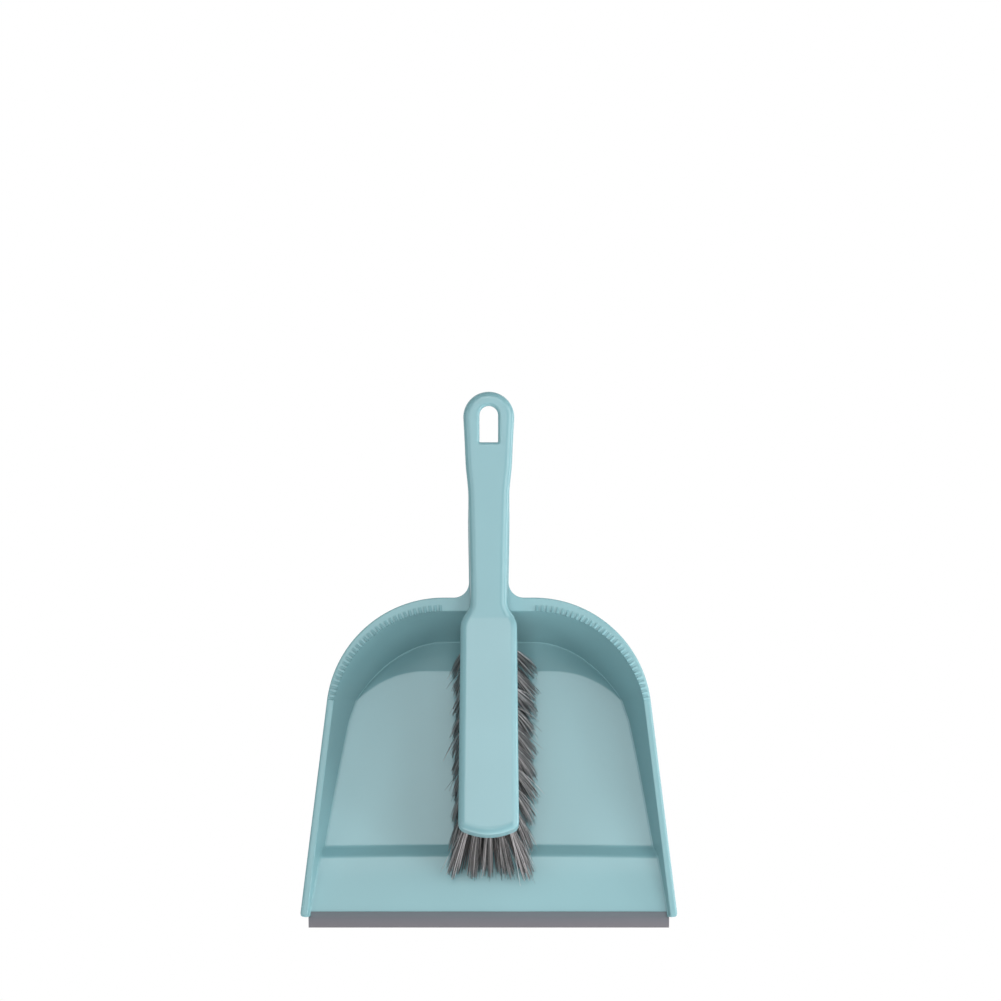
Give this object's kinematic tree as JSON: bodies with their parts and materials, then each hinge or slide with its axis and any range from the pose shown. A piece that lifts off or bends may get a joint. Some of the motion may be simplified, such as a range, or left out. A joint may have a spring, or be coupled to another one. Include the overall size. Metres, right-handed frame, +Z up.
{
  "type": "dust pan and brush set",
  "caption": "Hanging dustpan with a comb-toothed rim, dirt step and soft lip, and a hand brush whose hollow handle nests over the pan's and shares its hanging slot.",
  "frame": {"origin": "centre of the hanging slot's round top, in the plane of the pan's rim", "axes": "+X to the right as seen from the front, +Y back towards the wall that the set hangs on, +Z up; the pan's rim lies in the plane y = 0"},
  "size_m": [0.2342, 0.1022, 0.3327],
  "materials": {
    "pan_plastic": "gloss",
    "brush_plastic": "gloss",
    "lip_rubber": "matte",
    "bristles": "matte",
    "anchor_steel": "satin"
  },
  "bodies": {
    "pan": {"pan_body": "pan_plastic", "pan_lip": "lip_rubber"},
    "brush": {"brush_body": "brush_plastic", "tuft_anchors": "anchor_steel", "tuft_row_01": "bristles", "tuft_row_02": "bristles", "tuft_row_03": "bristles", "tuft_row_04": "bristles", "tuft_row_05": "bristles", "tuft_row_06": "bristles", "tuft_row_07": "bristles", "tuft_row_08": "bristles", "tuft_row_09": "bristles", "tuft_row_10": "bristles", "tuft_row_11": "bristles", "tuft_row_12": "bristles", "tuft_row_13": "bristles", "tuft_row_14": "bristles", "tuft_row_15": "bristles", "tuft_row_16": "bristles", "tuft_row_17": "bristles", "tuft_row_18": "bristles", "tuft_row_19": "bristles"}
  },
  "joints": [
    {"name": "brush_lift", "type": "slide", "parent": "pan", "child": "brush", "axis": [0, -1, 0], "range_m": [0, 0.1]}
  ]
}
